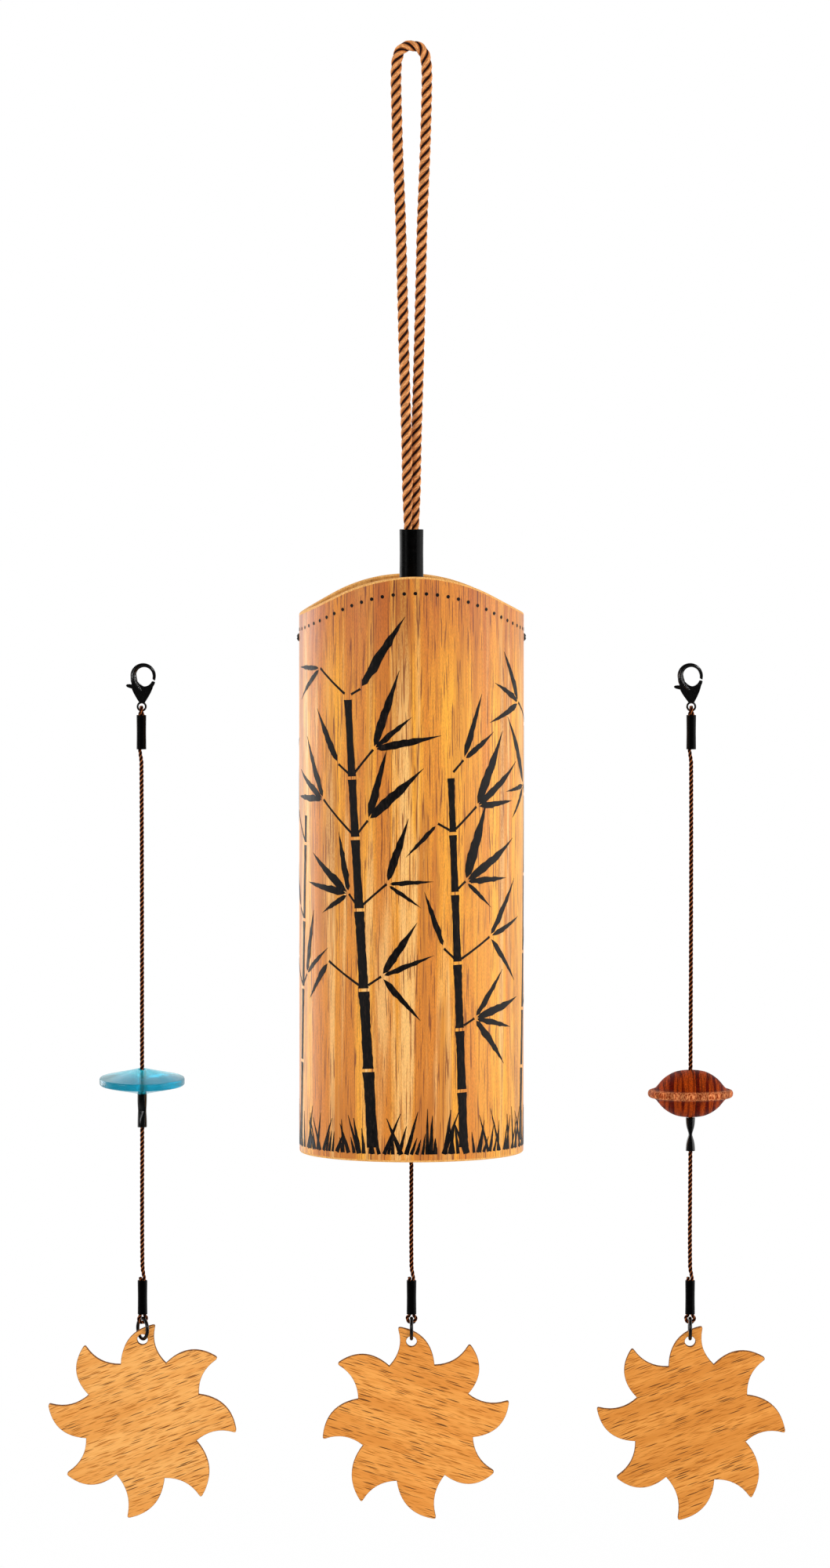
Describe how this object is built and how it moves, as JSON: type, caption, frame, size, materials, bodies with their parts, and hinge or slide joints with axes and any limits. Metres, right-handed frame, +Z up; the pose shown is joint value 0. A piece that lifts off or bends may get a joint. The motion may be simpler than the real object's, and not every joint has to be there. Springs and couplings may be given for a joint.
{
  "type": "bamboo wind chime",
  "caption": "Wooden tube wind chime on a rope loop, with tuned rods and a striker string inside, a sun sail below and spare striker strings on clasps.",
  "frame": {"origin": "where a hook bears on the rope, at the inner top of the rope loop", "axes": "+Z up along the hanging rope, +X to the right seen from the front, +Y to the back"},
  "size_m": [0.2076, 0.063, 0.4157],
  "materials": {
    "rope": "laid three-strand rope, golden brown",
    "black_sleeve": "satin black shrink tube",
    "steel": "plain steel, brazed",
    "rod_steel": "drawn steel rod",
    "bamboo": "bent veneer, oiled, with a plain black print",
    "black_metal": "gloss black",
    "string": "twisted waxed string, brown",
    "smoke_acrylic": "clear turned acrylic",
    "blue_acrylic": "translucent blue acrylic",
    "red_hardwood": "turned and waxed",
    "beech": "laser-cut, bare"
  },
  "bodies": {
    "hanger": {"hanging_rope": "rope", "hanger_sleeve": "black_sleeve"},
    "hanger_ring": {"hanger_ring": "steel"},
    "resonator": {"bamboo_tube": "bamboo", "base_plate": "steel", "double_eye": "steel", "side_screws": "black_metal", "chime_rod_1": "rod_steel", "chime_rod_2": "rod_steel", "chime_rod_3": "rod_steel", "chime_rod_4": "rod_steel", "chime_rod_5": "rod_steel", "chime_rod_6": "rod_steel", "chime_rod_7": "rod_steel", "chime_rod_8": "rod_steel", "chime_rod_9": "rod_steel"},
    "inner_clasp": {"inner_clasp_frame": "black_metal", "inner_clasp_pin": "black_metal"},
    "inner_lever": {"inner_clasp_lever": "black_metal"},
    "inner_string": {"inner_upper_cord": "string", "inner_upper_sleeve": "black_sleeve", "inner_stopper": "black_sleeve"},
    "inner_striker": {"inner_striker": "smoke_acrylic"},
    "inner_tail": {"inner_lower_cord": "string", "inner_lower_sleeve": "black_sleeve"},
    "inner_ring": {"inner_ring": "black_metal"},
    "inner_sail": {"inner_sail": "beech"},
    "blue_clasp": {"blue_clasp_frame": "black_metal", "blue_clasp_pin": "black_metal"},
    "blue_lever": {"blue_clasp_lever": "black_metal"},
    "blue_string": {"blue_upper_cord": "string", "blue_upper_sleeve": "black_sleeve", "blue_stopper": "black_sleeve"},
    "blue_striker": {"blue_striker": "blue_acrylic"},
    "blue_tail": {"blue_lower_cord": "string", "blue_lower_sleeve": "black_sleeve"},
    "blue_ring": {"blue_ring": "black_metal"},
    "blue_sail": {"blue_sail": "beech"},
    "wood_clasp": {"wood_clasp_frame": "black_metal", "wood_clasp_pin": "black_metal"},
    "wood_lever": {"wood_clasp_lever": "black_metal"},
    "wood_string": {"wood_upper_cord": "string", "wood_upper_sleeve": "black_sleeve", "wood_stopper": "black_sleeve"},
    "wood_striker": {"wood_striker": "red_hardwood"},
    "wood_tail": {"wood_lower_cord": "string", "wood_lower_sleeve": "black_sleeve"},
    "wood_ring": {"wood_ring": "black_metal"},
    "wood_sail": {"wood_sail": "beech"}
  },
  "joints": [
    {"name": "hanger_ring_swing", "type": "hinge", "parent": "hanger", "child": "hanger_ring", "pos_m": [0, 0, -0.14933], "axis": [1, 0, 0], "range_deg": [-12, 12]},
    {"name": "resonator_swing", "type": "hinge", "parent": "hanger_ring", "child": "resonator", "pos_m": [0, 0, -0.15481], "axis": [0, 1, 0], "range_deg": [-5, 5]},
    {"name": "inner_clasp_swing", "type": "hinge", "parent": "resonator", "child": "inner_clasp", "pos_m": [0, 0, -0.17261], "axis": [0, 1, 0], "range_deg": [-3, 3]},
    {"name": "inner_lever_press", "type": "hinge", "parent": "inner_clasp", "child": "inner_lever", "pos_m": [0.0004, 0, -0.17899], "axis": [0, -1, 0], "range_deg": [0, 20], "stiffness_Nm_per_rad": 0.005, "springref_deg": -5.73},
    {"name": "inner_string_swing", "type": "hinge", "parent": "inner_clasp", "child": "inner_string", "pos_m": [0, 0, -0.18414], "axis": [1, 0, 0], "range_deg": [-3, 3]},
    {"name": "inner_striker_spin", "type": "hinge", "parent": "inner_string", "child": "inner_striker", "pos_m": [0, 0, -0.28839], "axis": [0, 0, 1], "continuous": true},
    {"name": "inner_tail_swing", "type": "hinge", "parent": "inner_string", "child": "inner_tail", "pos_m": [0, 0, -0.30139], "axis": [0, 1, 0], "range_deg": [-13, 13]},
    {"name": "inner_ring_swing", "type": "hinge", "parent": "inner_tail", "child": "inner_ring", "pos_m": [0, 0, -0.35546], "axis": [0, 1, 0], "range_deg": [-30, 30]},
    {"name": "inner_sail_swing", "type": "hinge", "parent": "inner_ring", "child": "inner_sail", "pos_m": [0, 0, -0.35836], "axis": [1, 0, 0], "range_deg": [-30, 30]},
    {"name": "blue_clasp_swing", "type": "hinge", "parent": "hanger", "child": "blue_clasp", "pos_m": [-0.0748, 0, -0.17265], "axis": [0, 1, 0], "range_deg": [-3, 3]},
    {"name": "blue_lever_press", "type": "hinge", "parent": "blue_clasp", "child": "blue_lever", "pos_m": [-0.07495, 0, -0.17904], "axis": [0, -1, 0], "range_deg": [0, 20], "stiffness_Nm_per_rad": 0.005, "springref_deg": -5.73},
    {"name": "blue_string_swing", "type": "hinge", "parent": "blue_clasp", "child": "blue_string", "pos_m": [-0.0758, 0, -0.18414], "axis": [1, 0, 0], "range_deg": [-3, 3]},
    {"name": "blue_striker_spin", "type": "hinge", "parent": "blue_string", "child": "blue_striker", "pos_m": [-0.0758, 0, -0.28839], "axis": [0, -0.0785, 0.9969], "continuous": true},
    {"name": "blue_tail_swing", "type": "hinge", "parent": "blue_string", "child": "blue_tail", "pos_m": [-0.0758, 0, -0.30139], "axis": [0, 1, 0], "range_deg": [-13, 13]},
    {"name": "blue_ring_swing", "type": "hinge", "parent": "blue_tail", "child": "blue_ring", "pos_m": [-0.0758, 0, -0.35546], "axis": [-0.5, 0.866, 0], "range_deg": [-30, 30]},
    {"name": "blue_sail_swing", "type": "hinge", "parent": "blue_ring", "child": "blue_sail", "pos_m": [-0.0758, 0, -0.35836], "axis": [0.866, 0.5, 0], "range_deg": [-30, 30]},
    {"name": "wood_clasp_swing", "type": "hinge", "parent": "hanger", "child": "wood_clasp", "pos_m": [0.0785, 0, -0.17261], "axis": [0, 1, 0], "range_deg": [-3, 3]},
    {"name": "wood_lever_press", "type": "hinge", "parent": "wood_clasp", "child": "wood_lever", "pos_m": [0.0789, 0, -0.17899], "axis": [0, -1, 0], "range_deg": [0, 20], "stiffness_Nm_per_rad": 0.005, "springref_deg": -5.73},
    {"name": "wood_string_swing", "type": "hinge", "parent": "wood_clasp", "child": "wood_string", "pos_m": [0.0785, 0, -0.18414], "axis": [1, 0, 0], "range_deg": [-3, 3]},
    {"name": "wood_striker_spin", "type": "hinge", "parent": "wood_string", "child": "wood_striker", "pos_m": [0.0785, 0, -0.29189], "axis": [0, 0, 1], "continuous": true},
    {"name": "wood_tail_swing", "type": "hinge", "parent": "wood_string", "child": "wood_tail", "pos_m": [0.0785, 0, -0.30809], "axis": [0, 1, 0], "range_deg": [-13, 13]},
    {"name": "wood_ring_swing", "type": "hinge", "parent": "wood_tail", "child": "wood_ring", "pos_m": [0.0785, 0, -0.35546], "axis": [0, 1, 0], "range_deg": [-30, 30]},
    {"name": "wood_sail_swing", "type": "hinge", "parent": "wood_ring", "child": "wood_sail", "pos_m": [0.0785, 0, -0.35836], "axis": [1, 0, 0], "range_deg": [-30, 30]}
  ]
}
